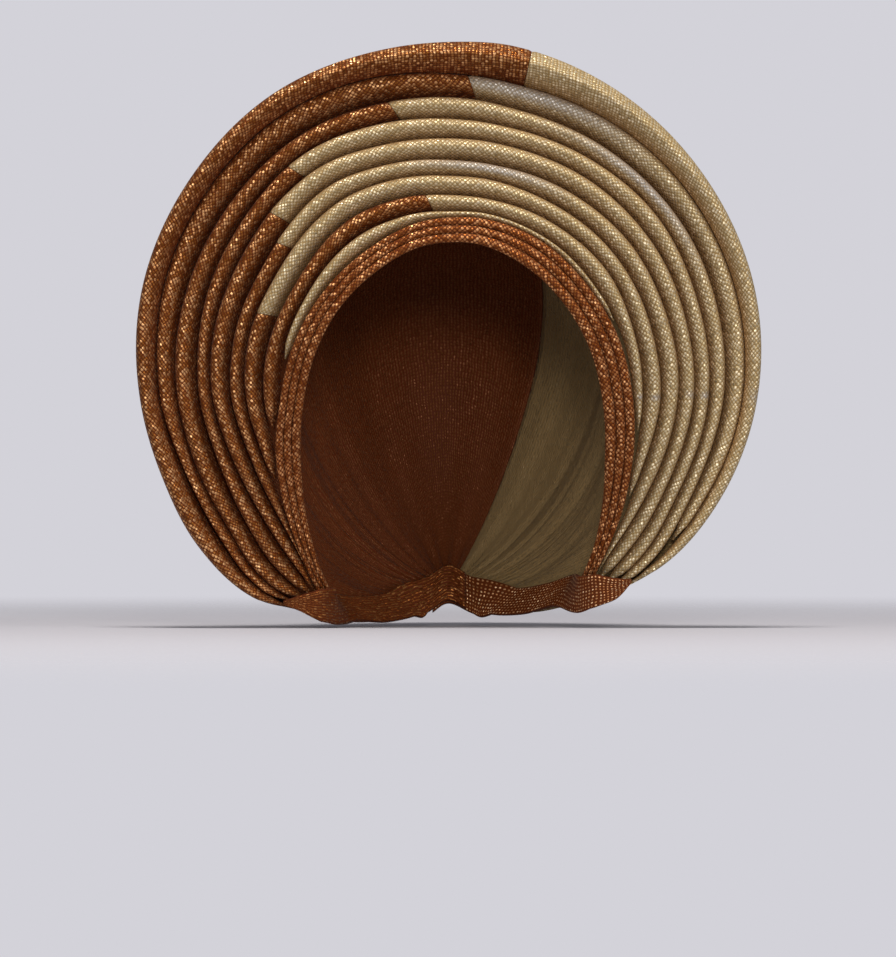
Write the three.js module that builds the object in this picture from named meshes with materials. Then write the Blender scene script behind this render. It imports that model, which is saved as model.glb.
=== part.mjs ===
import * as THREE from 'three';

// Pre-tied gele: a round fan of nine tubular pleats over three brow folds, with a cloth wrap behind it
// and two flat ties. Millimetres, +Z up. The open front looks along -Y, and left is the -X side.
// The origin is the crown seat, at the top of the hollow.

// Cloth: the wall of a pleat, of a narrow brow fold and of a doubled tie, and the space between pieces.
const pleatWall = 1.2;
const browWall = 1;
const wrapWall = 1.4;
const tieWall = 1.8;
const gap = 0.3;

// The fan seen from the front. Radii are taken from one middle point, and angles from the +X side through
// the top.
const middleRight = 1;
const middleBelow = 91;
const topAngle = 90;
const leftFootAngle = 233;
const rightFootAngle = -47;
const fanReach = 162;
const openingReach = 72.5;
const browBreadth = 10.5;

// The fan seen from the side. Forward is towards -Y.
const browForward = 59;
const browFall = 2;
const fanForward = 54;
const fanFall = 1.25;
const footBack = 1;
const dish = 3;
const lip = 8;
const pleatDepth = 16;
const pleatFootDepth = 5.5;
const browDepth = 5.5;
const browShort = 3;

// The hollow: a half ellipsoid above its widest line and a longer one below.
const hollowMiddleBelow = 85;
const hollowHalfWidth = 80;
const hollowHalfLength = 100;
const hollowCrown = 88;
const hollowDrop = 135;

// The wrap leaves the rim, flares in to the hollow and is gathered at the back.
const gatherBack = 84;
const gatherBelow = 195;
const flareTurnAngle = 50;
const flarePower = 3;
const gathers = 8;
const gatherLift = 1.6;
const wrapStop = 0.98;

// The ties. They run inside the wrap's lower edge and pass each other at the back.
// tieSeats and tiePast are shares of the way from a foot to the gather.
const tieHeight = 18;
const tieRise = 6;
const tieClear = 2.2;
const tieInset = 3;
const tieSeats = [0.18, 0.34, 0.52, 0.7, 0.86, 1];
const tiePast = 0.1;
const tieUpright = 0.8;
const tieBackUp = new THREE.Vector3(0, 0.38, 0.92).normalize();

// How finely the folds are divided. All pieces share the same stations round the fan.
const fanSteps = 31;
const pleatArcPoints = 5;
const browArcPoints = 3;
const wrapRows = 11;
const tieSteps = 18;

// Below and back are counted from the crown seat.
const hollowMiddle = new THREE.Vector3(0, 0, -hollowMiddleBelow);
const gatherPoint = new THREE.Vector3(0, gatherBack, -gatherBelow);

const copperCloth = new THREE.MeshStandardMaterial({ color: 0x8a4a1c, roughness: 0.55, metalness: 0.3 });
const goldCloth = new THREE.MeshStandardMaterial({ color: 0xa08c5c, roughness: 0.5, metalness: 0.3 });

// The outline round the fan. rim is a share of fanReach, opening of openingReach and brow of browBreadth.
const outline = [
  { angle: -47, rim: 0.725, opening: 1.314, brow: 0.61 },
  { angle: -35, rim: 0.772, opening: 1.17, brow: 0.96 },
  { angle: -20, rim: 0.813, opening: 1.038, brow: 1.26 },
  { angle: 0, rim: 0.865, opening: 0.956, brow: 1.35 },
  { angle: 20, rim: 0.912, opening: 0.931, brow: 1.35 },
  { angle: 40, rim: 0.949, opening: 0.931, brow: 1.3 },
  { angle: 60, rim: 0.983, opening: 0.956, brow: 1.3 },
  { angle: 80, rim: 1.006, opening: 0.987, brow: 1.13 },
  { angle: 90, rim: 1.001, opening: 0.983, brow: 1.08 },
  { angle: 100, rim: 0.998, opening: 0.975, brow: 1.04 },
  { angle: 120, rim: 0.991, opening: 0.925, brow: 1 },
  { angle: 140, rim: 0.958, opening: 0.899, brow: 1 },
  { angle: 160, rim: 0.922, opening: 0.893, brow: 1.04 },
  { angle: 180, rim: 0.874, opening: 0.918, brow: 1.04 },
  { angle: 195, rim: 0.842, opening: 0.975, brow: 1.13 },
  { angle: 210, rim: 0.824, opening: 1.075, brow: 1.04 },
  { angle: 225, rim: 0.789, opening: 1.239, brow: 0.75 },
  { angle: 235, rim: 0.722, opening: 1.38, brow: 0.6 },
];

// Where the places of the next table lie round the fan.
const places = {
  rightFoot: -45, lowRight: -25, right: 0, upperRight: 40, top: 90, upperLeft: 140, left: 180, lowLeft: 205,
  leftFoot: 230,
};

// One row a pleat, from the rim inwards. At each place the share says how far out its inner edge lies, from
// 0 at the brow folds to 1 at the rim. from and to are the angles of its two ends, and seam is the angle
// where its copper meets its gold.
const pleats = [
  { rightFoot: 0.88, lowRight: 0.85, right: 0.88, upperRight: 0.86, top: 0.825, upperLeft: 0.88, left: 0.83,
    lowLeft: 0.78, leftFoot: 0.85, from: -44.5, seam: 78, to: 231 },
  { rightFoot: 0.87, lowRight: 0.7, right: 0.73, upperRight: 0.73, top: 0.69, upperLeft: 0.75, left: 0.715,
    lowLeft: 0.65, leftFoot: 0.71, from: -32, seam: 86, to: 231.5 },
  { rightFoot: 0.72, lowRight: 0.57, right: 0.61, upperRight: 0.63, top: 0.577, upperLeft: 0.625,
    left: 0.577, lowLeft: 0.47, leftFoot: 0.575, from: -46, seam: 101, to: 232 },
  { rightFoot: 0.48, lowRight: 0.42, right: 0.49, upperRight: 0.506, top: 0.469, upperLeft: 0.523,
    left: 0.472, lowLeft: 0.325, leftFoot: 0.34, from: -46.5, seam: 124, to: 232.5 },
  { rightFoot: 0.2, lowRight: 0.25, right: 0.358, upperRight: 0.39, top: 0.343, upperLeft: 0.398,
    left: 0.338, lowLeft: 0.172, leftFoot: 0.17, from: -47, seam: 133, to: 233 },
  { rightFoot: 0, lowRight: 0.11, right: 0.22, upperRight: 0.27, top: 0.246, upperLeft: 0.284, left: 0.246,
    lowLeft: 0.055, leftFoot: 0, from: -44, seam: 137, to: 233 },
  { rightFoot: 0, lowRight: 0, right: 0.085, upperRight: 0.165, top: 0.14, upperLeft: 0.17, left: 0.127,
    lowLeft: 0, leftFoot: 0, from: -28, seam: 155, to: 204 },
  { rightFoot: 0, lowRight: 0, right: 0, upperRight: 0.045, top: 0.034, upperLeft: 0.07, left: 0.014,
    lowLeft: 0, leftFoot: 0, from: -9, seam: 96, to: 189 },
  { rightFoot: 0, lowRight: 0, right: 0, upperRight: 0, top: 0, upperLeft: 0, left: 0,
    lowLeft: 0, leftFoot: 0, from: 26, to: 166 },
];

// One row a brow fold, from the opening outwards, with its share of the brow's breadth at its outer edge.
const browFolds = [
  { edge: 0.37 },
  { edge: 0.69 },
  { edge: 1 },
];

// One row a tie, with the foot that it starts behind and the next line of the wrap above that foot. angle,
// reach and back give the middle of its start: an angle, a share of openingReach and a share of tieHeight.
const ties = [
  { foot: leftFootAngle, next: leftFootAngle - 8, angle: 231, reach: 1.5, back: 0.72 },
  { foot: rightFootAngle, next: rightFootAngle + 8, angle: -45, reach: 1.42, back: 0.72 },
];

// A smooth value between the rows of a table, at an angle.
function valueAt(rows, column, angle) {
  let i = rows.findIndex((row) => row.angle >= angle);
  i = Math.min(Math.max(i < 0 ? rows.length - 1 : i, 1), rows.length - 1);
  const [a, b] = [rows[i - 1], rows[i]];
  const slope = (low, high) => (high[column] - low[column]) / (high.angle - low.angle);
  const slopeA = i > 1 ? slope(rows[i - 2], b) : slope(a, b);
  const slopeB = i < rows.length - 1 ? slope(a, rows[i + 1]) : slope(a, b);
  const breadth = b.angle - a.angle;
  const t = THREE.MathUtils.clamp((angle - a.angle) / breadth, 0, 1);
  const rise = t * t * (3 - 2 * t);
  return a[column] * (1 - rise) + b[column] * rise
    + breadth * t * (1 - t) * ((1 - t) * slopeA - t * slopeB);
}

// How far down the fan an angle is, from 0 at the top to 1 at either foot.
function downTheFan(angle) {
  const foot = angle > topAngle ? leftFootAngle : rightFootAngle;
  return (angle - topAngle) / (foot - topAngle);
}

// A point at an angle and a radius round the fan's middle, and at a depth.
function inSpace(angle, radius, depth) {
  const turn = THREE.MathUtils.degToRad(angle);
  return new THREE.Vector3(middleRight + radius * Math.cos(turn), depth,
    radius * Math.sin(turn) - middleBelow);
}

const rimRadius = (angle) => fanReach * valueAt(outline, 'rim', angle);
const openingRadius = (angle) => openingReach * valueAt(outline, 'opening', angle);
const browRadius = (angle) => openingRadius(angle) + browBreadth * valueAt(outline, 'brow', angle);

// Depth of the brow folds' fronts.
function browFront(angle) {
  return -browForward + (browForward + footBack) * downTheFan(angle) ** browFall;
}

// Depth of the fan's front at a share of its breadth, bowed back between the brow and the rim.
function fanFront(angle, share) {
  const rim = -fanForward + (fanForward + footBack) * downTheFan(angle) ** fanFall;
  const bow = dish * Math.sin(Math.PI * share) * (1 - downTheFan(angle) ** 2);
  return THREE.MathUtils.lerp(browFront(angle), rim, share) + bow;
}

// Depth of the ends of the pleats' legs at a share of the fan's breadth.
function fanBack(angle, share) {
  return fanFront(angle, share) + THREE.MathUtils.lerp(pleatDepth, pleatFootDepth, downTheFan(angle));
}

const rimFront = (angle) => fanFront(angle, 1) - lip * (1 - downTheFan(angle) ** 2);

// The share at which a pleat's inner edge lies, with the rim for the edge before the first.
function edgeShare(number, angle) {
  if (number === 0) return 1;
  const row = pleats[number - 1];
  const rows = Object.entries(places).map(([place, at]) => ({ angle: at, share: row[place] }));
  return Math.max(valueAt(rows, 'share', angle), 0);
}

// A fold across its length: one leg, a round front and the other leg, as pairs of radius and depth.
function foldSection(radius, half, front, back, arcPoints) {
  const points = [[radius - half, back]];
  for (let i = 0; i < arcPoints; i++) {
    const turn = Math.PI * (i / (arcPoints - 1) - 0.5);
    points.push([radius + half * Math.sin(turn), front + half * (1 - Math.cos(turn))]);
  }
  points.push([radius + half, back]);
  return points;
}

// A closed wall between an outer and an inner grid of points of the same size.
function wallBetween(outer, inner) {
  const rows = outer.length;
  const columns = outer[0].length;
  const points = [...outer.flat(), ...inner.flat()];
  const faces = [];
  const quad = (a, b, c, d) => faces.push(a, b, c, a, c, d);
  const out = (row, column) => row * columns + column;
  const into = (row, column) => rows * columns + out(row, column);
  for (let row = 0; row < rows - 1; row++) {
    for (let column = 0; column < columns - 1; column++) {
      const [r, c] = [row + 1, column + 1];
      quad(out(row, column), out(r, column), out(r, c), out(row, c));
      quad(into(row, column), into(row, c), into(r, c), into(r, column));
    }
    quad(out(row, 0), into(row, 0), into(row + 1, 0), out(row + 1, 0));
    const last = columns - 1;
    quad(out(row, last), out(row + 1, last), into(row + 1, last), into(row, last));
  }
  for (let column = 0; column < columns - 1; column++) {
    const last = rows - 1;
    quad(out(0, column), out(0, column + 1), into(0, column + 1), into(0, column));
    quad(out(last, column), into(last, column), into(last, column + 1), out(last, column + 1));
  }
  const geometry = new THREE.BufferGeometry().setFromPoints(points);
  geometry.setIndex(volumeOf(points, faces) < 0 ? faces.reverse() : faces);
  geometry.computeVertexNormals();
  return geometry;
}

// Six times the signed volume inside a closed set of faces: below 0 where they point inwards.
function volumeOf(points, faces) {
  let sum = 0;
  for (let i = 0; i < faces.length; i += 3) {
    const [a, b, c] = [points[faces[i]], points[faces[i + 1]], points[faces[i + 2]]];
    sum += a.dot(new THREE.Vector3().crossVectors(b, c));
  }
  return sum;
}

// The angle of a station round the fan, counted from the right foot.
const stationAngle = (station) => THREE.MathUtils.lerp(rightFootAngle, leftFootAngle, station / fanSteps);

// The stations from one angle to another, with the two ends as parts of a station.
function stationsBetween(fromAngle, toAngle) {
  const [from, to] = [fromAngle, toAngle].map((angle) =>
    fanSteps * (angle - rightFootAngle) / (leftFootAngle - rightFootAngle));
  const nearest = 0.01;
  const whole = Array.from({ length: fanSteps + 1 }, (_, i) => i);
  return [from, ...whole.filter((i) => i > from + nearest && i < to - nearest), to];
}

// Points at a part of a station lie straight between the two whole stations, so that neighbours keep clear.
function atStation(station, pointsAt) {
  const low = Math.min(Math.floor(station), fanSteps - 1);
  const [a, b] = [pointsAt(stationAngle(low)), pointsAt(stationAngle(low + 1))];
  return a.map((point, i) => point.clone().lerp(b[i], station - low));
}

// A hollow fold along the fan. sectionAt gives its radius, half breadth, front and back at an angle.
function foldAlong(fromAngle, toAngle, sectionAt, wall, arcPoints) {
  const face = (angle, inside) => {
    const { radius, half, front, back } = sectionAt(angle);
    const breadth = inside ? Math.max(half - wall, gap / 2) : half;
    const section = foldSection(radius, breadth, inside ? front + wall : front, back, arcPoints);
    return section.map(([r, depth]) => inSpace(angle, r, depth));
  };
  const stations = stationsBetween(fromAngle, toAngle);
  const outer = stations.map((station) => atStation(station, (angle) => face(angle, false)));
  const inner = stations.map((station) => atStation(station, (angle) => face(angle, true)));
  return wallBetween(outer, inner);
}

// A pleat's section at an angle. The pleat at the rim stands forward of the rest as a lip.
function pleatSection(number, angle) {
  const brow = browRadius(angle);
  const breadth = rimRadius(angle) - brow;
  const outerEdge = edgeShare(number - 1, angle);
  const innerEdge = edgeShare(number, angle);
  const share = (outerEdge + innerEdge) / 2;
  return {
    radius: brow + breadth * share,
    half: (breadth * (outerEdge - innerEdge) - gap) / 2,
    front: number === 1 ? rimFront(angle) : fanFront(angle, share),
    back: fanBack(angle, share),
  };
}

// A brow fold's section at an angle.
function browSection(number, angle) {
  const innerShare = number === 1 ? 0 : browFolds[number - 2].edge;
  const outerShare = browFolds[number - 1].edge;
  const breadth = browRadius(angle) - openingRadius(angle);
  return {
    radius: openingRadius(angle) + breadth * (innerShare + outerShare) / 2,
    half: (breadth * (outerShare - innerShare) - gap) / 2,
    front: browFront(angle) - browWall,
    back: browFront(angle) + browDepth,
  };
}

// How far the hollow's skin is from its middle in a direction.
function hollowReach(direction) {
  const tall = direction.z > 0 ? hollowCrown : hollowDrop;
  return 1 / Math.hypot(direction.x / hollowHalfWidth, direction.y / hollowHalfLength, direction.z / tall);
}

// The way straight out of the hollow's skin at a point.
function hollowNormal(point) {
  const p = point.clone().sub(hollowMiddle);
  const tall = p.z > 0 ? hollowCrown : hollowDrop;
  const slope = new THREE.Vector3(p.x / hollowHalfWidth ** 2, p.y / hollowHalfLength ** 2, p.z / tall ** 2);
  return slope.normalize();
}

// A point of the wrap's outer face: along runs from 0 at the rim to 1 at the gather.
function wrapPoint(angle, along) {
  const behindRim = pleatSection(1, angle).back + gap + wrapWall;
  const start = inSpace(angle, rimRadius(angle) - gap / 2, behindRim).sub(hollowMiddle);
  const startReach = start.length();
  start.normalize();
  const end = gatherPoint.clone().sub(hollowMiddle).normalize();
  const turn = new THREE.Quaternion().setFromUnitVectors(start, end);
  const direction = start.clone().applyQuaternion(new THREE.Quaternion().slerp(turn, along));
  const turned = along * THREE.MathUtils.radToDeg(start.angleTo(end));
  const flare = Math.max(1 - turned / flareTurnAngle, 0) ** flarePower * (startReach - hollowReach(start));
  const round = (angle - rightFootAngle) / (leftFootAngle - rightFootAngle);
  const gathered = gatherLift * Math.sin(Math.PI * along) * Math.cos(2 * Math.PI * gathers * round);
  return direction.multiplyScalar(hollowReach(direction) + flare + gathered).add(hollowMiddle);
}

// The same point moved into the wrap's wall, square to its face.
function wrapInnerPoint(angle, along, wall) {
  const small = 0.01;
  const across = wrapPoint(angle + small, along).sub(wrapPoint(angle - small, along));
  const down = wrapPoint(angle, along + small).sub(wrapPoint(angle, along - small));
  const normal = across.cross(down).normalize();
  const point = wrapPoint(angle, along);
  const outward = Math.sign(normal.dot(point.clone().sub(hollowMiddle)));
  return point.addScaledVector(normal, -outward * wall);
}

// The wrap between two angles of the fan.
function wrapBetween(fromAngle, toAngle) {
  const rows = Array.from({ length: wrapRows + 1 }, (_, row) => wrapStop * row / wrapRows);
  const stations = stationsBetween(fromAngle, toAngle);
  const outer = stations.map((station) => atStation(station, (angle) =>
    rows.map((along) => wrapPoint(angle, along))));
  const inner = stations.map((station) => atStation(station, (angle) =>
    rows.map((along) => wrapInnerPoint(angle, along, wrapWall))));
  return wallBetween(outer, inner);
}

// A tie inside the wrap's lower edge, from behind the fan's foot and on past the gather. under is how much
// deeper than the other tie it lies at the back, where they pass each other.
function tieSolid(tie, other, under) {
  const centres = [inSpace(tie.angle, openingReach * tie.reach, tieHeight * tie.back)];
  const ups = [new THREE.Vector3(0, 0, 1)];
  const seat = (side, along) => {
    const edge = wrapPoint(side.foot, along);
    const up = along > tieUpright ? tieBackUp : wrapPoint(side.next, along).sub(edge).normalize();
    const passing = under * THREE.MathUtils.smoothstep(along, tieSeats[1], tieSeats[3]);
    const depth = wrapWall + tieClear + tieWall / 2 + tieInset * (1 - along) ** 2 + passing;
    const inside = edge.addScaledVector(hollowNormal(edge), -depth);
    centres.push(inside.addScaledVector(up, tieRise * (1 - along)));
    ups.push(up);
  };
  tieSeats.forEach((along) => seat(tie, along));
  seat(other, 1 - tiePast);
  const curve = new THREE.CatmullRomCurve3(centres, false, 'centripetal');
  const outer = [];
  const inner = [];
  for (let i = 0; i <= tieSteps; i++) {
    const t = i / tieSteps;
    const centre = curve.getPoint(t);
    const place = t * (ups.length - 1);
    const k = Math.min(Math.floor(place), ups.length - 2);
    const up = ups[k].clone().lerp(ups[k + 1], place - k).normalize();
    const out = curve.getTangent(t).cross(up).normalize().multiplyScalar(tieWall / 2);
    const edges = [-tieHeight / 2, tieHeight / 2].map((h) => centre.clone().addScaledVector(up, h));
    outer.push(edges.map((edge) => edge.clone().add(out)));
    inner.push(edges.map((edge) => edge.clone().sub(out)));
  }
  return wallBetween(outer, inner);
}

const gele = new THREE.Group();

function addPiece(name, geometry, material) {
  const piece = new THREE.Mesh(geometry, material);
  piece.name = name;
  gele.add(piece);
}

// The pleats, each in a gold length on the right and a copper length on the left of its seam.
pleats.forEach((row, i) => {
  const number = i + 1;
  const section = (angle) => pleatSection(number, angle);
  const make = (from, to) => foldAlong(from, to, section, pleatWall, pleatArcPoints);
  if (row.seam === undefined) {
    addPiece(`pleat_${number}_gold`, make(row.from, row.to), goldCloth);
    return;
  }
  const { radius } = section(row.seam);
  const halfGap = THREE.MathUtils.radToDeg(gap / 2 / radius);
  addPiece(`pleat_${number}_gold`, make(row.from, row.seam - halfGap), goldCloth);
  addPiece(`pleat_${number}_copper`, make(row.seam + halfGap, row.to), copperCloth);
});

// The brow folds, which end browShort degrees before the left foot.
browFolds.forEach((row, i) => {
  const section = (angle) => browSection(i + 1, angle);
  const fold = foldAlong(rightFootAngle, leftFootAngle - browShort, section, browWall, browArcPoints);
  addPiece(`brow_fold_${i + 1}`, fold, copperCloth);
});

// The wrap, which changes colour in line with the pleat at the rim.
const wrapSeam = pleats[0].seam;
const wrapHalfGap = THREE.MathUtils.radToDeg(gap / 2 / hollowHalfWidth);
addPiece('back_wrap_gold', wrapBetween(rightFootAngle, wrapSeam - wrapHalfGap), goldCloth);
addPiece('back_wrap_copper', wrapBetween(wrapSeam + wrapHalfGap, leftFootAngle), copperCloth);

// The ties, the left one under the right one at the back.
addPiece('left_tie', tieSolid(ties[0], ties[1], tieWall + 3 * gap), copperCloth);
addPiece('right_tie', tieSolid(ties[1], ties[0], 0), copperCloth);

export default gele;
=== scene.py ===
import math

import bpy
import numpy as np
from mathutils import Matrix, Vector


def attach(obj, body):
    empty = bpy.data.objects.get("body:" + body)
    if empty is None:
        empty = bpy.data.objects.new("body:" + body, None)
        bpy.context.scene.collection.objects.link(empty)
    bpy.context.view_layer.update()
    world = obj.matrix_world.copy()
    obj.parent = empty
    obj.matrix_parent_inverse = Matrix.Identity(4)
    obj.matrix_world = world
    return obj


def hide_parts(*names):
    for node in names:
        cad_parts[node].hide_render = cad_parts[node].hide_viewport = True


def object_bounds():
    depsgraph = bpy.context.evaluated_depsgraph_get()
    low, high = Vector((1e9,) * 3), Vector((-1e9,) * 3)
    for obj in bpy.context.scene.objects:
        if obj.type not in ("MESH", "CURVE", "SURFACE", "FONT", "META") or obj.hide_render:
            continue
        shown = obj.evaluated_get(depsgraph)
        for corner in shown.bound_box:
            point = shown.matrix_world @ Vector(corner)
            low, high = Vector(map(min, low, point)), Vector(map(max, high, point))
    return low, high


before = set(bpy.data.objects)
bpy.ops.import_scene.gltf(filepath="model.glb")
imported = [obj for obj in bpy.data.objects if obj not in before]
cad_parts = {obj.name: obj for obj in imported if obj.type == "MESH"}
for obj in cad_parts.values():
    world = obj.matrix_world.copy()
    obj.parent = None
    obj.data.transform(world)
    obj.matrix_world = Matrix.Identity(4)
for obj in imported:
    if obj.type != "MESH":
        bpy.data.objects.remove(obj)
cad_low, cad_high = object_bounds()

# A pre-tied gele in woven copper and gold cloth. The sizes below are in millimetres and follow those of the
# solids, with finer folds. The scene is in metres.
METRES = 0.001

# Cloth thicknesses, and the space between neighbours, so narrow that the folds look pressed together.
pleat_wall = 1.2
brow_wall = 1.0
wrap_wall = 1.4
tie_wall = 1.8
gap = 0.1

# The fan seen from the front, with radii from one middle and angles from the +X side through the top.
middle_right = 1.0
middle_below = 91.0
top_angle = 90.0
left_foot = 233.0
right_foot = -47.0
fan_reach = 162.0
opening_reach = 72.5
brow_breadth = 10.5

# The fan seen from the side.
brow_forward = 59.0
brow_fall = 2.0
fan_forward = 54.0
fan_fall = 1.25
foot_back = 1.0
dish = 3.0
lip = 8.0
past_the_foot = 1.1
pleat_depth = 16.0
pleat_foot_depth = 5.5
brow_depth = 5.5

# The hollow, the wrap behind the fan and its gather. weave_line is the step from the rim at which the wrap's
# weave is measured round it.
hollow_middle = np.array([0.0, 0.0, -85.0])
hollow_half_width = 80.0
hollow_half_length = 100.0
hollow_crown = 88.0
hollow_drop = 135.0
gather_point = np.array([0.0, 84.0, -195.0])
flare_turn = 50.0
flare_power = 3.0
gathers = 8
gather_lift = 1.6
wrap_stop = 0.98
wrap_steps = 60
weave_line = 20

# The wrap's soft folds: their sizes, how many go round it, and how the broad ones slant.
small_folds = 1.9
small_counts = (23, 41)
small_shares = (0.55, 0.3)
broad_folds = 0.8
broad_count = 5.3
broad_slant = 2.4

# The ties.
tie_height = 18.0
tie_rise = 6.0
tie_clear = 2.2
tie_inset = 3.0
tie_seats = [0.34, 0.52, 0.7, 0.86, 1.0]
tie_past = 0.1
tie_upright = 0.8
next_line = 8.0
tie_steps = 120
tie_rows = 13
least_knot = 1e-4
tie_front_up = np.array([0.0, -0.3, 0.95]) / np.hypot(0.3, 0.95)
tie_back_up = np.array([0.0, 0.38, 0.92]) / np.hypot(0.38, 0.92)

# The outline round the fan: angle, then shares of fan_reach, opening_reach and brow_breadth.
OUTLINE = dict(
    angle=[-54, -47, -35, -20, 0, 20, 40, 60, 80, 90, 100, 120, 140, 160, 180, 195, 210, 225, 235, 242],
    rim=[.698, .725, .772, .813, .865, .912, .949, .983, 1.006, 1.001, .998, .991, .958, .922, .874, .842,
         .824, .789, .722, .675],
    opening=[1.4, 1.314, 1.17, 1.038, .956, .931, .931, .956, .987, .983, .975, .925, .899, .893, .918,
             .975, 1.075, 1.239, 1.38, 1.48],
    brow=[.58, .61, .96, 1.26, 1.35, 1.35, 1.3, 1.3, 1.13, 1.08, 1.04, 1, 1, 1.04, 1.04, 1.13, 1.04, .75,
          .6, .58],
)

# Where the columns of the next table lie round the fan.
PLACES = [-45, -25, 0, 20, 40, 60, 78, 90, 105, 120, 145, 165, 180, 195, 210, 220, 230]

# One row a pleat from the rim inwards: its inner edge at each place, as a share of the way from the brow
# folds to the rim, then the angles of its right end, of its seam and of its left end.
PLEATS = [
    ([.88, .85, .88, .87, .86, .827, .793, .822, .861, .878, .879, .868, .858, .801, .76, .8, .85],
     -44.5, 76.8, 231),
    ([.87, .712, .73, .721, .717, .676, .653, .687, .715, .731, .736, .736, .733, .695, .639, .67, .69],
     -32, 86, 231.5),
    ([.658, .57, .61, .599, .611, .57, .544, .568, .604, .635, .613, .593, .573, .502, .447, .45, .45],
     -48, 101, 234),
    ([.393, .408, .486, .482, .49, .464, .441, .455, .485, .526, .508, .503, .483, .383, .282, .22, .16],
     -49, 124, 235),
    ([.075, .238, .358, .365, .377, .339, .315, .329, .367, .407, .374, .371, .349, .238, .12, .05, 0],
     -50, 133, 236),
    ([0, .075, .22, .239, .254, .227, .223, .237, .278, .31, .281, .279, .242, .123, .02, 0, 0],
     -50, 137, 236),
    ([0, 0, .077, .111, .152, .125, .116, .131, .17, .194, .155, .146, .113, .018, 0, 0, 0],
     -28, 155, 204),
    ([0, 0, 0, .024, .034, .031, .033, .036, .061, .09, .062, .04, .007, 0, 0, 0, 0],
     -9, 96, 189),
    ([0] * len(PLACES), 26, None, 166),
]

# Where a painted silver reflection of the pale room lies on the gold threads of a pleat: from, most at, and
# to this angle. The other gold lengths that run down the right side take one short, faint stretch of it
# there, level with the fan's middle.
SILVER_REFLECTION = {2: (44, 74, 112), 3: (22, 48, 76), 6: (54, 80, 108)}
short_silver_reflection = (0, 1, 2)

# One row a brow fold: its outer edge as a share of the brow's breadth, and how far it runs on past the fan's
# feet, in degrees.
BROW_FOLDS = [(.37, 6), (.69, 5), (1.0, 4)]


def smooth_value(at, values, angle):
    """A smooth value between the entries of a table, at an angle."""
    i = int(np.clip(np.searchsorted(at, angle), 1, len(at) - 1))
    low, high = at[i - 1], at[i]
    slope = lambda j, k: (values[k] - values[j]) / (at[k] - at[j])
    slope_low = slope(i - 2, i) if i > 1 else slope(i - 1, i)
    slope_high = slope(i - 1, i + 1) if i < len(at) - 1 else slope(i - 1, i)
    t = min(max((angle - low) / (high - low), 0), 1)
    rise = t * t * (3 - 2 * t)
    bend = (high - low) * t * (1 - t) * ((1 - t) * slope_low - t * slope_high)
    return values[i - 1] * (1 - rise) + values[i] * rise + bend


def mix(a, b, t):
    return a + (b - a) * t


def ease(low, high, x):
    """0 below low, 1 above high and a smooth rise between."""
    t = np.clip((x - low) / (high - low), 0, 1)
    return t * t * (3 - 2 * t)


def down_the_fan(angle):
    """0 at the top of the fan, 1 at either foot and a little more past it."""
    foot = left_foot if angle > top_angle else right_foot
    return min(max((angle - top_angle) / (foot - top_angle), 0), past_the_foot)


def in_space(angle, radius, depth):
    """The point at an angle and a radius round the fan's middle, and at a depth."""
    turn = math.radians(angle)
    return np.array([middle_right + radius * math.cos(turn), depth, radius * math.sin(turn) - middle_below])


def rim_radius(angle):
    return fan_reach * smooth_value(OUTLINE["angle"], OUTLINE["rim"], angle)


def opening_radius(angle):
    return opening_reach * smooth_value(OUTLINE["angle"], OUTLINE["opening"], angle)


def brow_radius(angle):
    return opening_radius(angle) + brow_breadth * smooth_value(OUTLINE["angle"], OUTLINE["brow"], angle)


def brow_front(angle):
    return -brow_forward + (brow_forward + foot_back) * down_the_fan(angle) ** brow_fall


def clear_of_the_feet(angle):
    """1 at the top of the fan and 0 at its feet."""
    return 1 - min(down_the_fan(angle), 1) ** 2


def fan_front(angle, share):
    """How far back the fan's face lies. share runs from 0 at the brow folds to 1 at the rim."""
    rim = -fan_forward + (fan_forward + foot_back) * down_the_fan(angle) ** fan_fall
    bow = dish * math.sin(math.pi * share) * clear_of_the_feet(angle)
    return mix(brow_front(angle), rim, share) + bow


def fan_back(angle, share):
    return fan_front(angle, share) + mix(pleat_depth, pleat_foot_depth, down_the_fan(angle))


def rim_front(angle):
    return fan_front(angle, 1) - lip * clear_of_the_feet(angle)


def edge_share(number, angle):
    """How far out a pleat's inner edge lies, from 0 at the brow folds to 1 at the rim."""
    if number == 0:
        return 1.0
    return max(smooth_value(PLACES, PLEATS[number - 1][0], angle), 0.0)


def wander(angle, seed, waves=(3, 7, 13)):
    """A slow, uneven wave between about -1 and 1 along a fold, another for each seed."""
    turn = math.radians(angle)
    parts = [math.sin(wave * turn + seed * (1.7 + 0.9 * k)) / (1 + 0.6 * k) for k, wave in enumerate(waves)]
    return sum(parts) / 2


# The rolls. The crest stands off the middle of a roll towards the rim, and its inner flank runs down deeper
# than its outer one, so that each roll laps over the next one out.
# Each shape, in half breadths: how far the crest is off the middle, the inner flank's depth and its bend, and
# the outer edge's depth, then how far the outer edge is a slant and not a round.
copper_shape = np.array([0.34, 1.7, 1.6, 1.0, 0.0])
gold_shape = np.array([0.34, 1.45, 1.6, 0.95, 0.0])
under_rim_shape = np.array([0.34, 1.6, 1.6, 0.6, 0.0])
rim_top_shape = np.array([0.34, 1.6, 1.35, 0.85, 0.75])
brow_shape = np.array([0.1, 0.7, 2.2, 0.8, 0.0])
rim_top_reach = (28, 52)

# Small unevennesses of hand-laid folds: sizes, waves round the fan and seeds.
path_wander = 0.3
depth_wander = 0.6
depth_waves = (2, 5, 11)
depth_seed = 20
feet_wander = 0.4
brow_wander = 0.3
brow_waves = (4, 9, 17)
brow_seed = 40

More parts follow.
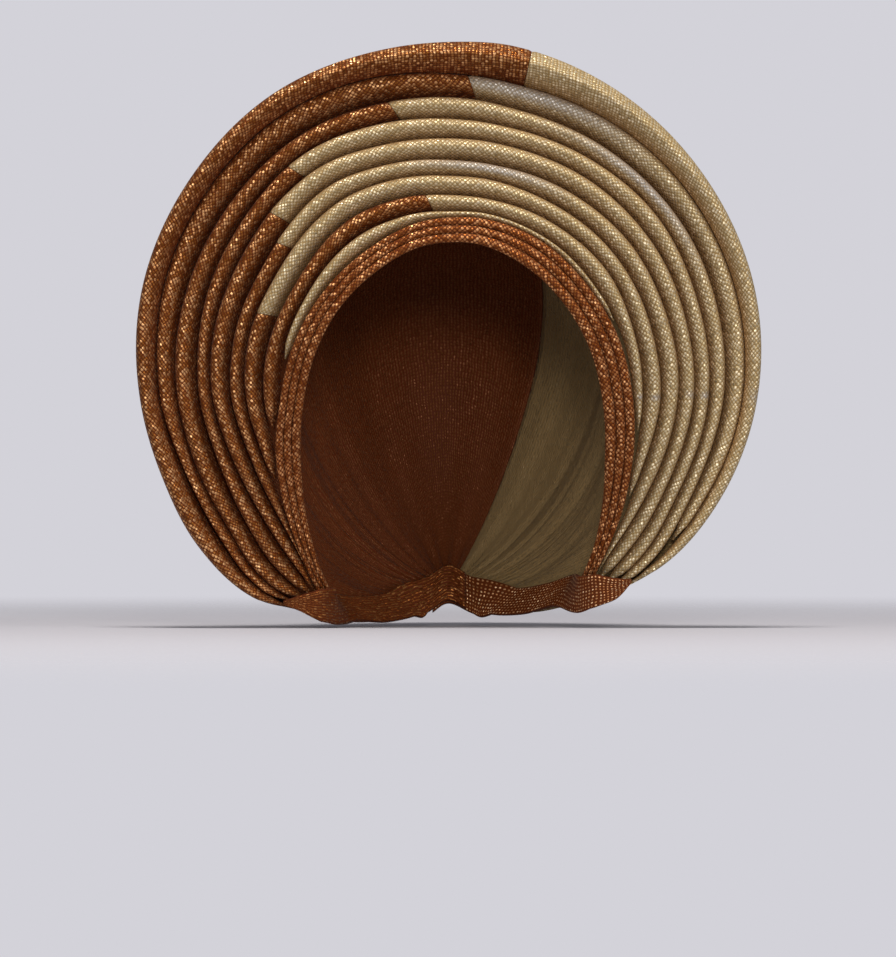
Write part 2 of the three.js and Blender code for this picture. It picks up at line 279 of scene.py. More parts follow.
# The seams and the ends of the folds. Where a fold is pinched, these are the least sizes that it keeps.
seam_dip = 0.45
seam_dip_reach = 1.6
seam_lean = 0.85
seam_lean_reach = 7.0
seam_pinch = 0.05
seam_steps = 7
seam_clear = 0.05
end_taper = 5.0
end_tuck = 3.0
end_breadth = 0.35
least_half = 0.2
least_hollow = 0.08
least_depth = 1.0
least_leg = 0.5

# How far down a fold's sides its painted crease shade is full, how strong the painted silver reflection on
# its threads is, and where that reflection starts and is full, all as shares of the way from the crest to an
# edge.
crease_shade_full = 1.6
silver_reflection_most = 0.75
silver_reflection_side = (-0.45, 0.05)


def edge_wander(number, angle):
    """How far a pleat's inner edge strays from its row of the table. The rim and the brow's edge don't."""
    return 0 if number in (0, len(PLEATS)) else path_wander * wander(angle, number)


def pleat_section(number, angle):
    """Radius, half breadth, front and back of a pleat at an angle."""
    brow = brow_radius(angle)
    breadth = rim_radius(angle) - brow
    outer, inner = edge_share(number - 1, angle), edge_share(number, angle)
    share = (outer + inner) / 2
    low = brow + breadth * inner + edge_wander(number, angle)
    high = brow + breadth * outer + edge_wander(number - 1, angle)
    front = rim_front(angle) if number == 1 else fan_front(angle, share)
    calm = mix(1, feet_wander, down_the_fan(angle))
    front += depth_wander * wander(angle, number + depth_seed, depth_waves) * calm
    return (low + high) / 2, (high - low - gap) / 2, front, fan_back(angle, share)


def brow_section(number, angle):
    """Radius, half breadth, front and back of a brow fold at an angle."""
    inner = 0 if number == 1 else BROW_FOLDS[number - 2][0]
    outer = BROW_FOLDS[number - 1][0]
    breadth = brow_radius(angle) - opening_radius(angle)
    radius = opening_radius(angle) + breadth * (inner + outer) / 2
    front = brow_front(angle) - brow_wall + brow_wander * wander(angle, number + brow_seed, brow_waves)
    return radius, (breadth * (outer - inner) - gap) / 2, front, brow_front(angle) + brow_depth


def rise_steps(arc):
    """How many of the steps over a fold's face lie between its inner edge and its crest: five in eight."""
    return arc * 5 // 8


def roll_points(radius, half, front, back, shape, arc, leg):
    """A fold across its length as pairs of radius and depth: inner leg, face, outer leg. Its face rises from
    the inner edge to a crest and turns over in a quarter round to the outer edge. arc and leg are the steps
    over the face and down a leg."""
    off, deep, power, shallow, slant = shape
    points = [(radius - half, mix(back, front + half * deep, i / leg)) for i in range(leg)]
    rise = rise_steps(arc)
    for i in range(rise):
        away = math.cos(i / rise * math.pi / 2)
        points.append((radius + half * (off - (1 + off) * away), front + half * deep * away ** power))
    for i in range(arc - rise):
        turn = i / (arc - rise - 1) * math.pi / 2
        aside = math.sin(turn)
        down = mix(1 - math.cos(turn), aside, slant)
        points.append((radius + half * (off + (1 - off) * aside), front + half * shallow * down))
    outer_edge = front + half * shallow
    return points + [(radius + half, mix(outer_edge, back, (i + 1) / leg)) for i in range(leg)]


def turning_to_the_bias(angle):
    """How far the rim's weave is turned from square to the fold, in radians: none at the top, and half a
    right angle at the sides."""
    return math.radians(0.5 * (angle - top_angle))


def on_the_bias(angle):
    """The weave's turn in the other folds, half a right angle all round the fan."""
    return math.pi / 4


def cells(grid):
    """The four-sided faces of a grid of point numbers."""
    return np.stack([grid[:-1, :-1], grid[1:, :-1], grid[1:, 1:], grid[:-1, 1:]], -1).reshape(-1, 4)


def strip(a, b):
    """The faces between two lines of point numbers."""
    return np.stack([a[:-1], b[:-1], b[1:], a[1:]], -1).reshape(-1, 4)


def cloth_mesh(name, outer, inner, grain, shades=None):
    """A closed wall of cloth between two grids of points, with the weave's place in millimetres as its UV.
    shades holds values for the material by name, from 0 to 1: CreaseShade is the painted shade that a point
    takes as it lies down between two folds, and SilverReflection is the painted silver reflection that the
    threads there take. The inner grid takes the second material."""
    rows, columns = outer.shape[:2]
    points = np.concatenate([outer.reshape(-1, 3), inner.reshape(-1, 3)]) * METRES
    index = np.arange(rows * columns).reshape(rows, columns)
    under = index + rows * columns
    faces = np.concatenate([
        cells(index), cells(under)[:, ::-1],
        strip(index[:, 0], under[:, 0]), strip(under[:, -1], index[:, -1]),
        strip(under[0], index[0]), strip(index[-1], under[-1]),
    ])
    a, b, c, d = (points[faces[:, k]] for k in range(4))
    turned_in = np.einsum("ij,ij->", a, np.cross(b, c) + np.cross(c, d)) < 0
    if turned_in:
        faces = faces[:, ::-1]
    mesh = bpy.data.meshes.new(name)
    mesh.from_pydata(points.tolist(), [], faces.tolist())
    layer = mesh.uv_layers.new(name="Cloth")
    places = np.concatenate([grain.reshape(-1, 2)] * 2)
    layer.uv.foreach_set("vector", places[faces.ravel()].ravel())
    side = (rows - 1) * (columns - 1)
    mesh.polygons.foreach_set("use_smooth", np.arange(len(faces)) < 2 * side)
    mesh.polygons.foreach_set("material_index", (np.arange(len(faces)) // side == 1).astype(int))
    for shade, values in (shades or {}).items():
        attribute = mesh.attributes.new(shade, "FLOAT", "POINT")
        attribute.data.foreach_set("value", np.concatenate([values.ravel()] * 2))
    mesh.validate()
    mesh.update()
    piece = bpy.data.objects.new(name, mesh)
    bpy.context.scene.collection.objects.link(piece)
    return piece


def lengths_along(points):
    """Distance run along a line of points, from its start."""
    steps = np.linalg.norm(np.diff(points, axis=0), axis=1)
    return np.concatenate([[0], np.cumsum(steps)])


def grain_of(angles, outer, crest, turned):
    """The weave's place at each point of a fold, with the weave turned by turned(angle). It is summed up
    along the crest from the top of the fan, so that it stays even where the turn changes."""
    run = lengths_along(outer[:, crest])
    start = np.interp(top_angle, angles, run)
    turns = np.array([turned(angle) for angle in angles])
    steps = np.diff(run)
    mean = (turns[1:] + turns[:-1]) / 2
    sums = lambda f: np.concatenate([[0], np.cumsum(f(mean) * steps)])
    along = sums(np.cos) - np.interp(start, run, sums(np.cos))
    aside = -(sums(np.sin) - np.interp(start, run, sums(np.sin)))
    across = np.array([lengths_along(row) for row in outer])
    across -= across[:, crest][:, None]
    a = along[:, None] + across * np.sin(turns)[:, None]
    b = aside[:, None] + across * np.cos(turns)[:, None]
    return np.stack([a, b], -1)


def nowhere(angle):
    return 0


def fold_piece(name, angles, section_at, wall, pinch, shape_at, lean=nowhere, reflected_silver=nowhere,
               turned=on_the_bias, shaded_creases=(1, 1), arc=16, leg=4):
    """A fold of cloth along the fan. pinch(angle) is a share of the breadth and a step back in depth, and
    lean(angle) is how far a cross-section turns at the fold's outer edge, in degrees. reflected_silver(angle)
    is how much painted silver reflection its threads take, and shaded_creases is whether its inner and its
    outer side take painted shade into a crease."""
    outer, inner = [], []
    for angle in angles:
        radius, half, front, back = section_at(angle)
        share, tuck = pinch(angle)
        half = max(half * share, least_half)
        front = min(front + tuck, back - least_depth)
        half_inside = max(half - wall, least_hollow)
        front_inside = min(front + wall, back - least_leg)
        shape = shape_at(angle)
        outside = roll_points(radius, half, front, back, shape, arc, leg)
        inside = roll_points(radius, half_inside, front_inside, back, shape, arc, leg)
        skew = lambda r: angle + lean(angle) * (r - radius) / half
        outer.append([in_space(skew(r), r, depth) for r, depth in outside])
        inner.append([in_space(skew(r), r, depth) for r, depth in inside])
    outer, inner = np.array(outer), np.array(inner)
    crest = leg + rise_steps(arc)
    grain = grain_of(angles, outer, crest, turned)
    run = lengths_along(outer[len(outer) // 2])
    off_crest = run - run[crest]
    inner_side, outer_side = run[crest] - run[leg], run[-1 - leg] - run[crest]
    # Painted shade: the colour darkens down each side of the crest towards the crease.
    inwards, outwards = -off_crest / inner_side * shaded_creases[0], off_crest / outer_side * shaded_creases[1]
    crease_shade = np.clip(np.where(off_crest > 0, outwards, inwards), 0, crease_shade_full) / crease_shade_full
    # Painted silver reflection, on the crest and the outer side of the fold only.
    silver_reflection = np.array([reflected_silver(angle) for angle in angles])[:, None]
    silver_reflection = silver_reflection_most * silver_reflection * ease(*silver_reflection_side, off_crest / inner_side)
    shades = {"CreaseShade": crease_shade, "SilverReflection": silver_reflection}
    shades = {shade: np.broadcast_to(values, outer.shape[:2]) for shade, values in shades.items()}
    return cloth_mesh(name, outer, inner, grain, shades), outer


def angles_between(start, end, step=1.25):
    count = max(int(round(abs(end - start) / step)), 4)
    return np.linspace(start, end, count + 1)


def colour(hex_code):
    """A colour as it is seen on a screen, turned into the linear values that a material takes."""
    parts = [int(hex_code[i:i + 2], 16) / 255 for i in (1, 3, 5)]
    return tuple(c / 12.92 if c <= 0.04045 else ((c + 0.055) / 1.055) ** 2.4 for c in parts) + (1,)


def add_node(tree, kind, inputs=None, output=0, **settings):
    """Adds a node, sets it and joins its inputs, and gives back one of its outputs."""
    made = tree.nodes.new(kind)
    for key, value in settings.items():
        setattr(made, key, value)
    for key, value in (inputs or {}).items():
        if isinstance(value, bpy.types.NodeSocket):
            tree.links.new(value, made.inputs[key])
        else:
            made.inputs[key].default_value = value
    return made.outputs[output] if made.outputs else made


# The weave, in the terms of woven_cloth: where floats stray from and how their edges fray, how the ground's
# colour changes from place to place, and the looks that all the cloths share. Noise scales are for each mm.
drift_scale = 0.09
drift = 2.4
fray_scale = 0.9
patch_scale = 0.03
float_edge = (1.25, 0.35)
# Painted shade in the creases between folds: where it starts and is full, how much of the floats it hides,
# and the warm tint that darkens the colour there.
crease_shade_reach = (0.15, 0.75)
crease_shade_hiding = 0.55
crease_shade_tint = "#e0b890"
# A painted silver reflection of the pale room on the gold threads: the colours that the threads and the
# ground are painted there, and how far the ground takes it.
reflected_silver_thread = "#bcbcc2"
reflected_silver_ground = "#7d7975"
reflected_silver_ground_share = 0.7
ground_rough = 0.6
thread_rough = 0.36
thread_height = 0.25
thread_tilt = 0.7


def woven_cloth(name, ground, thread, painted_glint, deep, rib=1.6, stitch=1.5, breadth=0.36, length=0.56, level=0.35,
                glint_gain=1.0, glint_rarity=3.0, metal=0.8, glow=0.7, stray=0.34, fray=1.3):
    """Cloth with a spun ground and a metallic weft that floats over it in short stitches.

    Its colours are the ground, in places deep, and the thread, which on a few floats is painted paler and
    brighter, up to painted_glint, a painted highlight for floats that catch the light.
    rib and stitch are the pitches in mm, and breadth and length are a float's half sizes as shares of them.
    level is the brightness of all floats, and glint_gain is the painted highlight that the brightest gain,
    which glint_rarity keeps to a few.
    glow is how much of the ground a float hides. stray and fray are how far floats lie off their places and
    how uneven their edges are, as shares."""
    material = bpy.data.materials.new(name)
    material.use_nodes = True
    tree = material.node_tree
    tree.nodes.clear()
    new = lambda kind, inputs=None, output=0, **settings: add_node(tree, kind, inputs, output, **settings)
    calc = lambda operation, *values: new("ShaderNodeMath", dict(enumerate(values)), operation=operation)
    vector = lambda operation, *values: new("ShaderNodeVectorMath", dict(enumerate(values)),
                                            operation=operation)
    scaled = lambda value, by: new("ShaderNodeVectorMath", {0: value, "Scale": by}, operation="SCALE")
    centred = lambda value: vector("SUBTRACT", value, (0.5, 0.5, 0.5))
    # A Mix node's colours are its inputs 6 and 7 and its output 2.
    blend = lambda share, a, b, **settings: new("ShaderNodeMix", {0: share, 6: a, 7: b}, output=2,
                                                data_type="RGBA", **settings)

    # The cells of the weave, on threads that wander a little.
    place = new("ShaderNodeUVMap", uv_map="Cloth")
    wandering = new("ShaderNodeTexNoise", {"Vector": place, "Scale": drift_scale, "Detail": 2.0},
                    output="Color")
    bent = vector("ADD", place, scaled(centred(wandering), drift))
    counted = vector("DIVIDE", bent, (rib, stitch, 1.0))
    cell = vector("FLOOR", counted)
    chance = new("ShaderNodeTexWhiteNoise", {"Vector": cell}, noise_dimensions="2D")
    tilt = new("ShaderNodeTexWhiteNoise", {"Vector": cell}, output="Color", noise_dimensions="2D")

    # One float in each cell, an oval with an uneven edge.
    within = centred(vector("SUBTRACT", counted, cell))
    within = vector("ADD", within, scaled(centred(tilt), stray))
    within = vector("DIVIDE", within, (breadth, length, 1.0))
    within = vector("MULTIPLY", within, (1.0, 1.0, 0.0))
    away = new("ShaderNodeVectorMath", {0: within}, output="Value", operation="LENGTH")
    uneven = new("ShaderNodeTexNoise", {"Vector": place, "Scale": fray_scale, "Detail": 2.0})
    away = calc("ADD", away, calc("MULTIPLY_ADD", uneven, fray, -fray / 2))
    over = new("ShaderNodeMapRange", {"Value": away, "From Min": float_edge[0], "From Max": float_edge[1]},
               interpolation_type="SMOOTHSTEP")

    # Its colour. A few floats are painted brighter, as painted glints; the threads take a painted silver
    # reflection in some stretches; and in a crease, painted shade sinks the floats into the ground's colour
    # and darkens all of it with a warm tint.
    crease_shade = new("ShaderNodeAttribute", output="Fac", attribute_name="CreaseShade")
    reflected_silver = new("ShaderNodeAttribute", output="Fac", attribute_name="SilverReflection")
    depth = new("ShaderNodeMapRange", {"Value": crease_shade, "From Min": crease_shade_reach[0],
                                       "From Max": crease_shade_reach[1]})
    # Painted highlight: a few floats, picked at random, are painted paler and brighter, up to the glint
    # colour.
    glint_share = calc("POWER", chance, glint_rarity)
    thread_colour = blend(glint_share, colour(thread), colour(painted_glint))
    # Painted reflection: in the stretches of the table the threads are painted silvery, as if they mirrored
    # the pale room.
    thread_colour = blend(reflected_silver, thread_colour, colour(reflected_silver_thread))
    thread_colour = scaled(thread_colour, calc("MULTIPLY_ADD", glint_share, glint_gain, level))
    patch = new("ShaderNodeTexNoise", {"Vector": place, "Scale": patch_scale, "Detail": 3.0})
    ground_colour = blend(patch, colour(deep), colour(ground))
    # The ground there is painted greyer with the same painted reflection.
    ground_colour = blend(calc("MULTIPLY", reflected_silver, reflected_silver_ground_share), ground_colour, colour(reflected_silver_ground))
    # Painted shade: down in a crease fewer floats show, so the dark ground takes over.
    shown = calc("MULTIPLY", over, calc("MULTIPLY_ADD", depth, -crease_shade_hiding * glow, glow))
    shade = blend(shown, ground_colour, thread_colour)
    # Painted shade: the colour is darkened with a warm tint down in a crease.
    shade = blend(depth, shade, colour(crease_shade_tint), blend_type="MULTIPLY")

    # Floats stand up, lean each its own way and shine as metal, and the ground stays matt.
    rough = new("ShaderNodeMapRange", {"Value": over, "To Min": ground_rough, "To Max": thread_rough})
    shine = calc("MULTIPLY", over, metal)
    lean = scaled(centred(tilt), calc("MULTIPLY", over, thread_tilt))
    bump = new("ShaderNodeBump", {"Strength": 0.7, "Distance": thread_height * METRES, "Height": over})
    normal = vector("NORMALIZE", vector("ADD", bump, lean))
    surface = new("ShaderNodeBsdfPrincipled", {
        "Base Color": shade, "Roughness": rough, "Metallic": shine, "Normal": normal,
        "Sheen Weight": 0.02, "Sheen Roughness": 0.4, "Specular IOR Level": 0.08,
    })
    new("ShaderNodeOutputMaterial", {"Surface": surface})
    return material


# Aso oke, woven on a narrow loom. A spun brown yarn makes a matt, dark ground, and lurex, a flat metallised
# film, floats over it as the weft. The eye sees small warm lights in rows: real glints off the tilted floats,
# and a painted highlight on a few floats that are painted brighter. The film is about 0.3 mm wide, too fine
# to show, so each float is drawn as one oval, at the pitch of the stitches.
copper_cloth = woven_cloth("woven_copper_lurex", "#5a2606", "#d08034", "#ffc88c", "#401803", breadth=0.42,
                           length=0.5, level=0.37, glint_gain=0.75, glint_rarity=1.5, stray=0.22, fray=0.8)
# The same cloth on the brow folds. It is drawn tight there, which spreads its floats and opens the ground, so
# that they look like separate dots.
copper_brow = woven_cloth("woven_copper_lurex_drawn_tight", "#582406", "#d87c30", "#ffc084", "#421a04",
                          rib=1.55, stitch=1.55, breadth=0.44, length=0.44, level=0.36, glint_gain=0.75,
                          glint_rarity=1.5, stray=0.22, fray=0.8)
# The same weave in khaki yarn with a pale gold lurex weft. Ground and weft are near in colour, and more of
# the film shows, so it looks paler and smoother, with a soft gloss.
gold_cloth = woven_cloth("woven_gold_lurex", "#8a7149", "#e0cda2", "#f6e8c8", "#7a623c", rib=1.6, stitch=1.6,
                         breadth=0.44, length=0.46, level=0.7, glint_gain=0.28, glint_rarity=1.4, metal=0.55, glow=0.76,
                         stray=0.22, fray=0.7)
# Their wrong sides. The weft runs under the ground there, so they are matt and hardly patterned.
copper_inside = woven_cloth("copper_cloth_inside", "#57240a", "#a8683a", "#a8683a", "#451a06", glint_gain=0.0,
                            metal=0.2)
gold_inside = woven_cloth("gold_cloth_inside", "#7f6844", "#b49c70", "#b49c70", "#6f5836", glint_gain=0.0,
                          metal=0.2)
# The copper cloth of the left tie lies flat with its ribs along it. Its floats are long and dull, and look
# like fine lines.
copper_ribbed = woven_cloth("copper_cloth_ribbed", "#582408", "#b86c30", "#e0a060", "#421a05", rib=1.8,
                            breadth=0.62, length=0.3, level=0.4, glint_gain=0.4, fray=0.8)
# On the right tie the weft comes up as small knots in a square grid, pale dots on a darker ground.
copper_dotted = woven_cloth("copper_cloth_dotted", "#5c2807", "#e8a468", "#ffd8a8", "#461d05", rib=1.8,
                            stitch=1.8, breadth=0.26, length=0.27, level=0.9, glint_gain=0.5, stray=0.15, fray=0.5)


def dress(piece, node, cloth, wrong_side=None):
    """Gives a piece its cloth, with another on its inner face where that shows, and its place in the part."""
    piece.data.materials.append(cloth)
    piece.data.materials.append(wrong_side or cloth)
    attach(piece, "root")
    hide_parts(node)


def seam_reach(number, seam):
    """How far a pleat's cloth dips to either side of its seam, in degrees."""
    return math.degrees(seam_dip_reach / pleat_section(number, seam)[0])


def pleat_pinch(number, angle):
    """Narrows a pleat and steps it back at its ends, which run in under other cloth, and at its seam."""
    _, right, seam, left = PLEATS[number - 1]
    full = ease(0, end_taper, min(abs(angle - right), abs(angle - left)))
    near = 1 - ease(0, seam_reach(number, seam), abs(angle - seam)) if seam else 0
    return mix(end_breadth, 1, full) * (1 - seam_pinch * near), end_tuck * (1 - full) + seam_dip * near


def pleat_lean(number, angle):
    """How far a pleat's cross-section turns near its seam, which runs slanted over every roll but the rim."""
    seam = PLEATS[number - 1][2]
    if number == 1 or not seam:
        return 0
    return seam_lean * (1 - ease(0, seam_lean_reach, abs(angle - seam)))


def pleat_shape(number, cloth, angle):
    """The shape of a pleat's roll, which at the rim is another near the top."""
    roll = gold_shape if cloth == "gold" else copper_shape
    if number == 1:
        return mix(rim_top_shape, roll, ease(*rim_top_reach, abs(angle - top_angle)))
    return under_rim_shape if number == 2 else roll


def silver_reflection(number, cloth, angle):
    """How much painted silver reflection a pleat's threads take, from 0 to 1."""
    if cloth == "copper":
        return 0
    start, full, end = SILVER_REFLECTION.get(number, short_silver_reflection)
    return ease(start, full, angle) * (1 - ease(full, end, angle))


def pleat_angles(number, seam, start, end):
    """Even steps along a length of a pleat, with finer ones by its seam."""
    angles = angles_between(start, end)
    if seam:
        reach = seam_reach(number, seam)
        angles = np.unique(np.concatenate([angles, np.linspace(seam - reach, seam + reach, seam_steps)]))
    return angles[(angles >= start) & (angles <= end)]


def pleat_length(number, cloth, start, end):
    """One colour's length of a pleat, between two angles."""
    node = f"pleat_{number}_{cloth}"
    piece, outer = fold_piece(
        f"cloth_{node}", pleat_angles(number, PLEATS[number - 1][2], start, end),
        lambda angle: pleat_section(number, angle), pleat_wall,
        lambda angle: pleat_pinch(number, angle),
        lambda angle: pleat_shape(number, cloth, angle),
        lean=lambda angle: pleat_lean(number, angle),
        reflected_silver=lambda angle: silver_reflection(number, cloth, angle),
        turned=turning_to_the_bias if number == 1 else on_the_bias,
        shaded_creases=(1, 0 if number == 1 else 1))
    dress(piece, node, copper_cloth if cloth == "copper" else gold_cloth)


def pleat_pieces():
    for number, (_, right, seam, left) in enumerate(PLEATS, 1):
        if not seam:
            pleat_length(number, "gold", right, left)
            continue
        half_gap = math.degrees(seam_clear / pleat_section(number, seam)[0])
        pleat_length(number, "gold", right, seam - half_gap)
        pleat_length(number, "copper", seam + half_gap, left)


def brow_pieces():
    for number, (_, past) in enumerate(BROW_FOLDS, 1):
        node = f"brow_fold_{number}"
        piece, outer = fold_piece(
            f"cloth_{node}", angles_between(right_foot - past, left_foot + past),
            lambda angle: brow_section(number, angle), brow_wall,
            lambda angle: (1, 0), lambda angle: brow_shape,
            shaded_creases=(0, 0), arc=12, leg=3)
        dress(piece, node, copper_brow)


def hollow_reach(direction):
    """How far the hollow's wall is from its middle."""
    tall = hollow_crown if direction[2] > 0 else hollow_drop
    return 1 / math.sqrt((direction[0] / hollow_half_width) ** 2 + (direction[1] / hollow_half_length) ** 2
                         + (direction[2] / tall) ** 2)


def hollow_normal(point):
    """The way straight out through the hollow's wall."""
    p = point - hollow_middle
    tall = hollow_crown if p[2] > 0 else hollow_drop
    slope = np.array([p[0] / hollow_half_width ** 2, p[1] / hollow_half_length ** 2, p[2] / tall ** 2])
    return slope / np.linalg.norm(slope)


def rim_back(angle):
    """The back edge of the rim pleat, where the wrap is sewn on."""
    return fan_back(angle, (1 + edge_share(1, angle)) / 2)


def round_the_wrap(angle):
    """0 at the right foot and 1 at the left one."""
    return (angle - right_foot) / (left_foot - right_foot)


def wrap_point(angle, along, folds=0.0):
    """A point of the wrap's outer face: along runs from 0 at the rim to 1 at the gather."""
    start = in_space(angle, rim_radius(angle) - gap / 2, rim_back(angle) + gap + wrap_wall) - hollow_middle
    start_reach = np.linalg.norm(start)
    start /= start_reach
    end = gather_point - hollow_middle
    end = end / np.linalg.norm(end)
    whole = math.acos(float(np.clip(start @ end, -1, 1)))
    direction = (start * math.sin((1 - along) * whole) + end * math.sin(along * whole)) / math.sin(whole)
    turned = math.degrees(along * whole)
    flare = max(1 - turned / flare_turn, 0) ** flare_power * (start_reach - hollow_reach(start))
    waves = math.cos(2 * math.pi * gathers * round_the_wrap(angle))
    gathered = gather_lift * math.sin(math.pi * along) * waves
    return direction * (hollow_reach(direction) + flare + gathered + folds) + hollow_middle


def wrap_folds(angle, along):
    """Small folds that deepen as the cloth nears its gather, and a few broad, soft ones above them. Small
    ones come in two counts and are shifted a little to and fro, which keeps them uneven."""
    turn = round_the_wrap(angle)
    near = along ** 1.6 * (1 - 0.45 * along)
    few, many = (2 * math.pi * count * turn for count in small_counts)
    small = (math.sin(few + 1.3 * math.sin(9 * turn)) * small_shares[0]
             + math.sin(many + 2.1) * small_shares[1])
    broad = math.sin(2 * math.pi * broad_count * turn + broad_slant * along) * math.sin(math.pi * along)
    return small_folds * near * small + broad_folds * broad


def wrap_piece(cloth, start, end, face, wrong_side):
    """One colour of the cloth behind the fan, between two angles."""
    alongs = np.linspace(0, wrap_stop, wrap_steps)
    outer = np.array([[wrap_point(angle, along, wrap_folds(angle, along)) for along in alongs]
                      for angle in angles_between(start, end, 1.0)])
    normal = np.cross(np.gradient(outer, axis=0), np.gradient(outer, axis=1))
    normal /= np.linalg.norm(normal, axis=2, keepdims=True)
    out = np.sign(np.einsum("ijk,ijk->ij", normal, outer - hollow_middle))[..., None]
    inner = outer - normal * out * wrap_wall
    run = np.array([lengths_along(row) for row in outer])
    round_run = lengths_along(outer[:, weave_line])
    grain = np.stack([round_run[:, None] + 0 * run, run], -1)
    node = f"back_wrap_{cloth}"
    piece = cloth_mesh(f"cloth_{node}", outer, inner, grain)
    dress(piece, node, face, wrong_side)


def wrap_pieces():
    seam = PLEATS[0][2]
    half_gap = math.degrees(gap / 2 / hollow_half_width)
    wrap_piece("gold", right_foot, seam - half_gap, gold_cloth, gold_inside)
    wrap_piece("copper", seam + half_gap, left_foot, copper_cloth, copper_inside)


# One row a tie: its foot, the next line of the wrap above it, and the points of its front end, each with its
# breadth as a share of tie_height. The front end laps over the feet of the pleats.
TIES = [
    ("left_tie", left_foot, left_foot - next_line,
     [(-75.5, -.4, -183.6, .08), (-67.3, -1.6, -183.9, .42),
      (-59, -.8, -184.9, .84), (-52.5, 8, -185.4, .98)]),
    ("right_tie", right_foot, right_foot + next_line,
     [(84, -1, -173.5, .08), (77.5, -2, -177, .52),
      (68, -1.4, -178.2, .86), (60.5, 7, -180, .98)]),
]


def tie_line(number, under):
    """The middle line of a tie, the way up along it and its breadth."""
    _, foot, next_foot, front = TIES[number]
    centres = [np.array(point[:3]) for point in front]
    breadths = [point[3] for point in front]
    ups = [tie_front_up] * len(front)

    def seat(foot, next_foot, along):
        edge = wrap_point(foot, along)
        up = tie_back_up
        if along <= tie_upright:
            up = wrap_point(next_foot, along) - edge
            up = up / np.linalg.norm(up)
        passing = under * ease(tie_seats[0], tie_seats[2], along)
        depth = wrap_wall + tie_clear + tie_wall / 2 + tie_inset * (1 - along) ** 2 + passing
        centres.append(edge - hollow_normal(edge) * depth + up * tie_rise * (1 - along))
        ups.append(up)
        breadths.append(1.0)
    for along in tie_seats:
        seat(foot, next_foot, along)
    _, other_foot, other_next, _ = TIES[1 - number]
    seat(other_foot, other_next, 1 - tie_past)
    return np.array(centres), np.array(ups), np.array(breadths)


def smooth_line(points, count):
    """A centripetal curve through points, at evenly spaced shares of its knots."""
    p = np.vstack([2 * points[0] - points[1], points, 2 * points[-1] - points[-2]])
    made = []
    for i in range(count + 1):
        place = i / count * (len(points) - 1)
        k = min(int(place), len(points) - 2)
        t = place - k
        p0, p1, p2, p3 = p[k:k + 4]
        pairs = ((p0, p1), (p1, p2), (p2, p3))
        d1, d2, d3 = (max(np.linalg.norm(b - a) ** 0.5, least_knot) for a, b in pairs)
        m1 = ((p1 - p0) / d1 - (p2 - p0) / (d1 + d2) + (p2 - p1) / d2) * d2
        m2 = ((p2 - p1) / d2 - (p3 - p1) / (d2 + d3) + (p3 - p2) / d3) * d2
        cubic, square = 2 * p1 - 2 * p2 + m1 + m2, -3 * p1 + 3 * p2 - 2 * m1 - m2
        made.append(cubic * t ** 3 + square * t * t + m1 * t + p1)
    return np.array(made)


def tie_piece(number, under, cloth):
    """A tie as a flat band along its line. under is how far it passes below the other one behind."""
    name = TIES[number][0]
    centres, ups, breadths = tie_line(number, under)
    line = smooth_line(centres, tie_steps)
    places = np.linspace(0, len(ups) - 1, tie_steps + 1)
    up = np.array([[np.interp(place, range(len(ups)), ups[:, k]) for k in range(3)] for place in places])
    up /= np.linalg.norm(up, axis=1, keepdims=True)
    out = np.cross(np.gradient(line, axis=0), up)
    out /= np.linalg.norm(out, axis=1, keepdims=True)
    heights = np.linspace(-0.5, 0.5, tie_rows) * tie_height
    breadth = np.interp(places, range(len(breadths)), breadths)
    middle = line[:, None] + up[:, None] * (breadth[:, None] * heights)[:, :, None]
    half_wall = out[:, None] * tie_wall / 2
    run = lengths_along(line)
    grain = np.stack(np.broadcast_arrays(run[:, None], heights[None, :]), -1)
    piece = cloth_mesh(f"cloth_{name}", middle + half_wall, middle - half_wall, grain)
    dress(piece, name, cloth)


def tie_pieces():
    tie_piece(0, tie_wall + 3 * gap, copper_ribbed)
    tie_piece(1, 0, copper_dotted)


pleat_pieces()
brow_pieces()
wrap_pieces()
tie_pieces()


# The room, in metres: a plain pale floor, which fades into the pale room round it.
floor_reach = 5.0
floor_below = 0.002
floor_sides = 96
floor_fade = (1.2, 0.2)
wall_reach = 14
room_colour = "#d3d2d9"
warm_white = "#fffaf4"


def pale_floor():
    level = cad_low[2] - floor_below
    turns = np.linspace(0, 2 * math.pi, floor_sides, endpoint=False)
    points = [(0.0, 0.0, level)]
    points += [(floor_reach * math.cos(turn), floor_reach * math.sin(turn), level) for turn in turns]
    faces = [(0, i + 1, (i + 1) % floor_sides + 1) for i in range(floor_sides)]
    mesh = bpy.data.meshes.new("pale_floor")
    mesh.from_pydata(points, [], faces)
    floor = bpy.data.objects.new("pale_floor", mesh)
    bpy.context.scene.collection.objects.link(floor)
    # Uncoated paper. Its open fibres scatter the light, so it has no shine.
    paper = bpy.data.materials.new("matt_pale_paper")
    paper.use_nodes = True
    tree = paper.node_tree
    shader = tree.nodes["Principled BSDF"]
    shader.inputs["Base Color"].default_value = colour("#b0afb6")
    shader.inputs["Roughness"].default_value = 0.9
    place = add_node(tree, "ShaderNodeTexCoord", output="Object")
    away = add_node(tree, "ShaderNodeVectorMath", {0: place}, output="Value", operation="LENGTH")
    near = add_node(tree, "ShaderNodeMapRange", {"Value": away, "From Min": floor_fade[0],
                                                 "From Max": floor_fade[1]}, interpolation_type="SMOOTHSTEP")
    tree.links.new(near, shader.inputs["Alpha"])
    mesh.materials.append(paper)


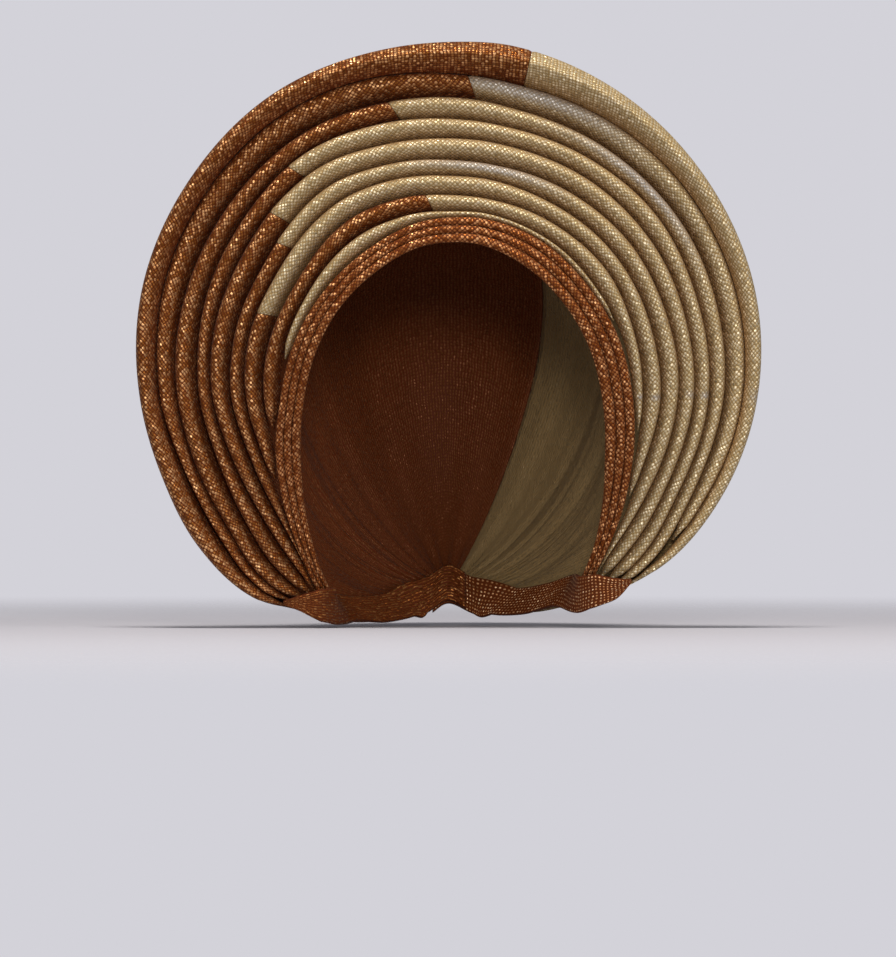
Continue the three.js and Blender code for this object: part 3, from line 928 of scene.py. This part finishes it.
def pale_backdrop():
    """An even, glowing wall all round, far off. It shows behind the part and lights nothing."""
    bpy.ops.mesh.primitive_uv_sphere_add(segments=48, ring_count=24, radius=wall_reach)
    wall = bpy.context.object
    wall.name = "pale_backdrop"
    glow = bpy.data.materials.new("even_pale_wall")
    glow.use_nodes = True
    tree = glow.node_tree
    tree.nodes.clear()
    light = add_node(tree, "ShaderNodeEmission", {"Color": colour(room_colour), "Strength": 1.0})
    add_node(tree, "ShaderNodeOutputMaterial", {"Surface": light})
    wall.data.materials.append(glow)
    for ray in ("diffuse", "glossy", "transmission", "volume_scatter", "shadow"):
        setattr(wall, f"visible_{ray}", False)


def soft_light(name, place, aim, size, power, tint="#ffffff"):
    lamp = bpy.data.lights.new(name, "AREA")
    lamp.shape = "RECTANGLE"
    lamp.size, lamp.size_y = size
    lamp.energy = power
    lamp.color = colour(tint)[:3]
    light = bpy.data.objects.new(name, lamp)
    light.location = place
    light.rotation_euler = (Vector(aim) - Vector(place)).to_track_quat("-Z", "Y").to_euler()
    bpy.context.scene.collection.objects.link(light)
    light.visible_camera = False


pale_floor()
pale_backdrop()

# Soft studio light: one panel above, which draws the bright line along each roll, two at the sides and one
# far off in front.
aim = (0, 0, -0.08)
soft_light("key_above", (-0.1, -0.8, 1.7), aim, (0.6, 0.4), 43, warm_white)
soft_light("strip_left", (-1.7, -1.5, 0.25), aim, (0.5, 1.2), 7)
soft_light("strip_right", (1.7, -1.5, 0.25), aim, (0.5, 1.2), 15)
soft_light("front_fill", (0.2, -3.2, 0.7), aim, (0.7, 0.5), 46, warm_white)

world = bpy.data.worlds.new("pale_room")
world.use_nodes = True
world.node_tree.nodes["Background"].inputs["Color"].default_value = colour(room_colour)
world.node_tree.nodes["Background"].inputs["Strength"].default_value = 0.35
bpy.context.scene.world = world
bpy.context.scene.view_settings.view_transform = "Standard"

# The camera stands level, straight in front, far enough off for the photograph's flat view. view_height is
# what the picture's longer side takes in at the plane of the fan.
view_height = 0.435
view_centre = -0.1266
stand_off = 4.0
fan_plane = -0.04
camera_data = bpy.data.cameras.new("front_camera")
camera_data.sensor_width = 36
camera_data.lens = camera_data.sensor_width * (stand_off + fan_plane) / view_height
camera_data.clip_end = 20
camera = bpy.data.objects.new("front_camera", camera_data)
camera.location = (0, -stand_off, view_centre)
camera.rotation_euler = (math.pi / 2, 0, 0)
bpy.context.scene.collection.objects.link(camera)
bpy.context.scene.camera = camera
